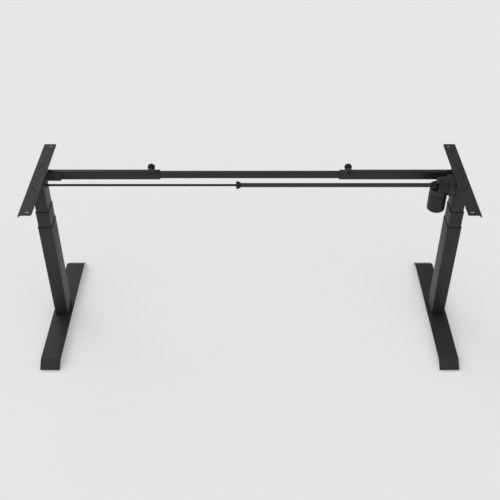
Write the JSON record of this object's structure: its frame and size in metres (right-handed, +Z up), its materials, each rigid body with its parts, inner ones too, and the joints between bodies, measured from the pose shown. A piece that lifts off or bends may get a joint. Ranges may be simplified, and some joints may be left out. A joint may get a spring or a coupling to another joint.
{
  "type": "height adjustable standing desk frame",
  "caption": "Height-adjustable standing desk frame: two telescopic lifting columns on flat feet, joined by a telescopic beam and driven by one motor through a cross shaft",
  "frame": {"origin": "On the floor, at the centre of the bounding box: midway between the two feet, left to right and front to back", "axes": "+X along the cross beam to the end with the motor, +Y to the rear, where the beam lies, +Z up"},
  "size_m": [1.6098, 0.643, 0.675],
  "materials": {
    "powder_coat": "black powder coat on steel, satin with a fine grain",
    "motor_paint": "black enamel on the motor's steel can",
    "cast_housing": "black painted die-cast gearbox and head housings",
    "black_plastic": "moulded black nylon, fine grain",
    "rubber": "dark moulded rubber pad on a threaded stud",
    "bright_steel": "zinc-plated or ground steel",
    "black_steel": "blackened steel, lightly oiled",
    "bronze": "machined bronze screw nuts"
  },
  "bodies": {
    "left_base": {"left_foot": "powder_coat", "left_outer_column": "powder_coat", "left_outer_guide": "black_plastic", "left_base_post": "bright_steel", "left_lower_nut": "bronze"},
    "left_front_glide": {"left_glide_front": "rubber"},
    "left_rear_glide": {"left_glide_rear": "rubber"},
    "left_mid": {"left_mid_column": "powder_coat", "left_mid_guide": "black_plastic", "left_mid_post": "bright_steel", "left_upper_nut": "bronze"},
    "left_screw_tube": {"left_lower_spindle": "bright_steel"},
    "left_top": {"left_inner_column": "powder_coat", "left_head_housing": "cast_housing", "left_side_bracket": "powder_coat", "left_bracket_screw_1": "black_steel", "left_bracket_screw_2": "black_steel", "left_rail_socket": "powder_coat", "left_outer_rail": "powder_coat", "left_clamp_nut": "black_plastic"},
    "left_screw": {"left_upper_spindle": "bright_steel", "left_spindle_gear": "bright_steel"},
    "left_shaft": {"left_shaft_gear": "bright_steel", "hex_rod": "black_steel"},
    "left_washer": {"left_clamp_washer": "bright_steel"},
    "left_knob": {"left_clamp_knob": "black_plastic"},
    "centre": {"centre_rail": "powder_coat"},
    "right_top": {"right_inner_column": "powder_coat", "right_head_housing": "cast_housing", "right_side_bracket": "powder_coat", "right_bracket_screw_1": "black_steel", "right_bracket_screw_2": "black_steel", "right_rail_socket": "powder_coat", "right_outer_rail": "powder_coat", "right_clamp_nut": "black_plastic", "motor_can": "motor_paint", "motor_gearbox": "cast_housing", "gearbox_flange": "cast_housing", "cable_gland": "black_plastic"},
    "right_shaft": {"right_shaft_gear": "bright_steel", "drive_tube": "powder_coat", "shaft_collar": "black_steel", "collar_screw": "bright_steel", "shaft_coupling": "black_steel"},
    "right_screw": {"right_upper_spindle": "bright_steel", "right_spindle_gear": "bright_steel"},
    "right_washer": {"right_clamp_washer": "bright_steel"},
    "right_knob": {"right_clamp_knob": "black_plastic"},
    "right_mid": {"right_mid_column": "powder_coat", "right_mid_guide": "black_plastic", "right_mid_post": "bright_steel", "right_upper_nut": "bronze"},
    "right_screw_tube": {"right_lower_spindle": "bright_steel"},
    "right_base": {"right_foot": "powder_coat", "right_outer_column": "powder_coat", "right_outer_guide": "black_plastic", "right_base_post": "bright_steel", "right_lower_nut": "bronze"},
    "right_front_glide": {"right_glide_front": "rubber"},
    "right_rear_glide": {"right_glide_rear": "rubber"}
  },
  "joints": [
    {"name": "left_front_levelling", "type": "slide", "parent": "left_base", "child": "left_front_glide", "axis": [0, 0, -1], "range_m": [0, 0.01]},
    {"name": "left_rear_levelling", "type": "slide", "parent": "left_base", "child": "left_rear_glide", "axis": [0, 0, -1], "range_m": [0, 0.01]},
    {"name": "lift_left_lower", "type": "slide", "parent": "left_base", "child": "left_mid", "axis": [0, 0, 1], "range_m": [-0.05, 0.27]},
    {"name": "left_lower_screw_turn", "type": "hinge", "parent": "left_mid", "child": "left_screw_tube", "pos_m": [-0.767, 0, 0.3], "axis": [0, 0, 1], "continuous": true},
    {"name": "lift_left_upper", "type": "slide", "parent": "left_mid", "child": "left_top", "axis": [0, 0, 1], "range_m": [-0.05, 0.27]},
    {"name": "left_upper_screw_turn", "type": "hinge", "parent": "left_top", "child": "left_screw", "pos_m": [-0.767, 0, 0.4], "axis": [0, 0, 1], "continuous": true},
    {"name": "left_shaft_turn", "type": "hinge", "parent": "left_top", "child": "left_shaft", "pos_m": [-0.336, 0, 0.641], "axis": [1, 0, 0], "continuous": true},
    {"name": "left_clamp_travel", "type": "slide", "parent": "left_top", "child": "left_washer", "axis": [0, -1, 0], "range_m": [0, 0.0021]},
    {"name": "left_clamp_turn", "type": "hinge", "parent": "left_washer", "child": "left_knob", "pos_m": [-0.3665, 0.06, 0.66], "axis": [0, -1, 0], "range_deg": [0, 720]},
    {"name": "width_left", "type": "slide", "parent": "left_top", "child": "centre", "axis": [-1, 0, 0], "range_m": [-0.05, 0.28]},
    {"name": "width_right", "type": "slide", "parent": "centre", "child": "right_top", "axis": [-1, 0, 0], "range_m": [-0.05, 0.28]},
    {"name": "right_shaft_turn", "type": "hinge", "parent": "right_top", "child": "right_shaft", "pos_m": [0.362, 0, 0.641], "axis": [1, 0, 0], "continuous": true},
    {"name": "right_upper_screw_turn", "type": "hinge", "parent": "right_top", "child": "right_screw", "pos_m": [0.767, 0, 0.4], "axis": [0, 0, 1], "continuous": true},
    {"name": "right_clamp_travel", "type": "slide", "parent": "right_top", "child": "right_washer", "axis": [0, -1, 0], "range_m": [0, 0.0021]},
    {"name": "right_clamp_turn", "type": "hinge", "parent": "right_washer", "child": "right_knob", "pos_m": [0.3665, 0.06, 0.66], "axis": [0, -1, 0], "range_deg": [0, 720]},
    {"name": "lift_right_upper", "type": "slide", "parent": "right_top", "child": "right_mid", "axis": [0, 0, -1], "range_m": [-0.05, 0.27]},
    {"name": "right_lower_screw_turn", "type": "hinge", "parent": "right_mid", "child": "right_screw_tube", "pos_m": [0.767, 0, 0.3], "axis": [0, 0, 1], "continuous": true},
    {"name": "lift_right_lower", "type": "slide", "parent": "right_mid", "child": "right_base", "axis": [0, 0, -1], "range_m": [-0.05, 0.27]},
    {"name": "right_front_levelling", "type": "slide", "parent": "right_base", "child": "right_front_glide", "axis": [0, 0, -1], "range_m": [0, 0.01]},
    {"name": "right_rear_levelling", "type": "slide", "parent": "right_base", "child": "right_rear_glide", "axis": [0, 0, -1], "range_m": [0, 0.01]}
  ],
  "couplings": [
    {"joint": "lift_left_upper", "follows": "lift_left_lower", "ratio": 1},
    {"joint": "lift_right_upper", "follows": "lift_left_lower", "ratio": 1},
    {"joint": "lift_right_lower", "follows": "lift_left_lower", "ratio": 1},
    {"joint": "left_lower_screw_turn", "follows": "lift_left_lower", "rad_per_m": 628.32},
    {"joint": "left_upper_screw_turn", "follows": "lift_left_lower", "rad_per_m": 628.32},
    {"joint": "left_shaft_turn", "follows": "lift_left_lower", "rad_per_m": 628.32},
    {"joint": "right_shaft_turn", "follows": "lift_left_lower", "rad_per_m": 628.32},
    {"joint": "right_upper_screw_turn", "follows": "lift_left_lower", "rad_per_m": -628.32},
    {"joint": "right_lower_screw_turn", "follows": "lift_left_lower", "rad_per_m": -628.32},
    {"joint": "left_clamp_travel", "follows": "left_clamp_turn", "m_per_rad": 0.00015915},
    {"joint": "right_clamp_travel", "follows": "right_clamp_turn", "m_per_rad": 0.00015915}
  ]
}
